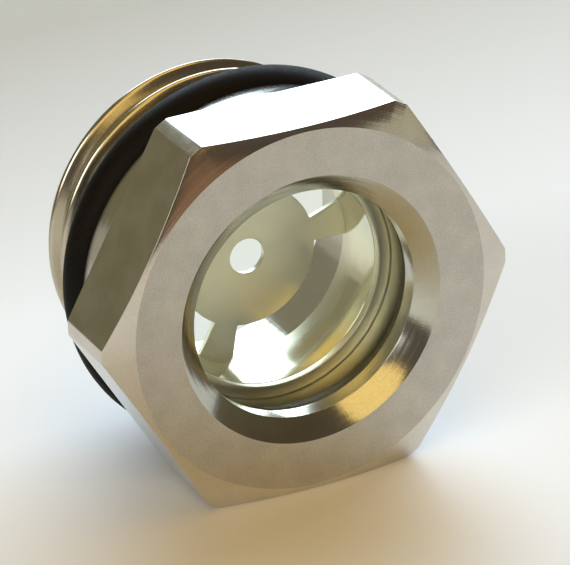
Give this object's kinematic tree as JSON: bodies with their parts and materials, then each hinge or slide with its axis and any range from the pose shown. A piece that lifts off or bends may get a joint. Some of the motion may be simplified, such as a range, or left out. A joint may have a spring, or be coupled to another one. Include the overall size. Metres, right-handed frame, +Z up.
{
  "type": "sight glass",
  "caption": "Hex-headed screw-in sight glass: a round window in a turned metal body, a slotted reflector behind it, and a parallel pipe thread with a rubber sealing ring.",
  "frame": {"origin": "on the ground under the middle of the fitting, which lies on one flat of its hex head", "axes": "+Y along the fitting's axis from the window to the threaded end, +Z up, +X to the right seen from the front"},
  "size_m": [0.0272, 0.0164, 0.0243],
  "materials": {
    "turned_metal": "fine turned, plain metal",
    "seal_rubber": "satin black",
    "gasket_fibre": "matte, dark",
    "window_glass": "clear, polished, faint green",
    "glass_seal_rubber": "satin black",
    "backing_ring_metal": "satin, pale olive",
    "reflector_metal": "fine turned, bright, pale olive",
    "spring_steel": "drawn wire, phosphated"
  },
  "bodies": {
    "root": {"hex_body": "turned_metal", "flange_seal_ring": "seal_rubber", "front_gasket": "gasket_fibre", "sight_glass_disc": "window_glass", "glass_seal_ring": "glass_seal_rubber", "backing_ring": "backing_ring_metal", "reflector": "reflector_metal", "snap_ring": "spring_steel"}
  },
  "joints": []
}
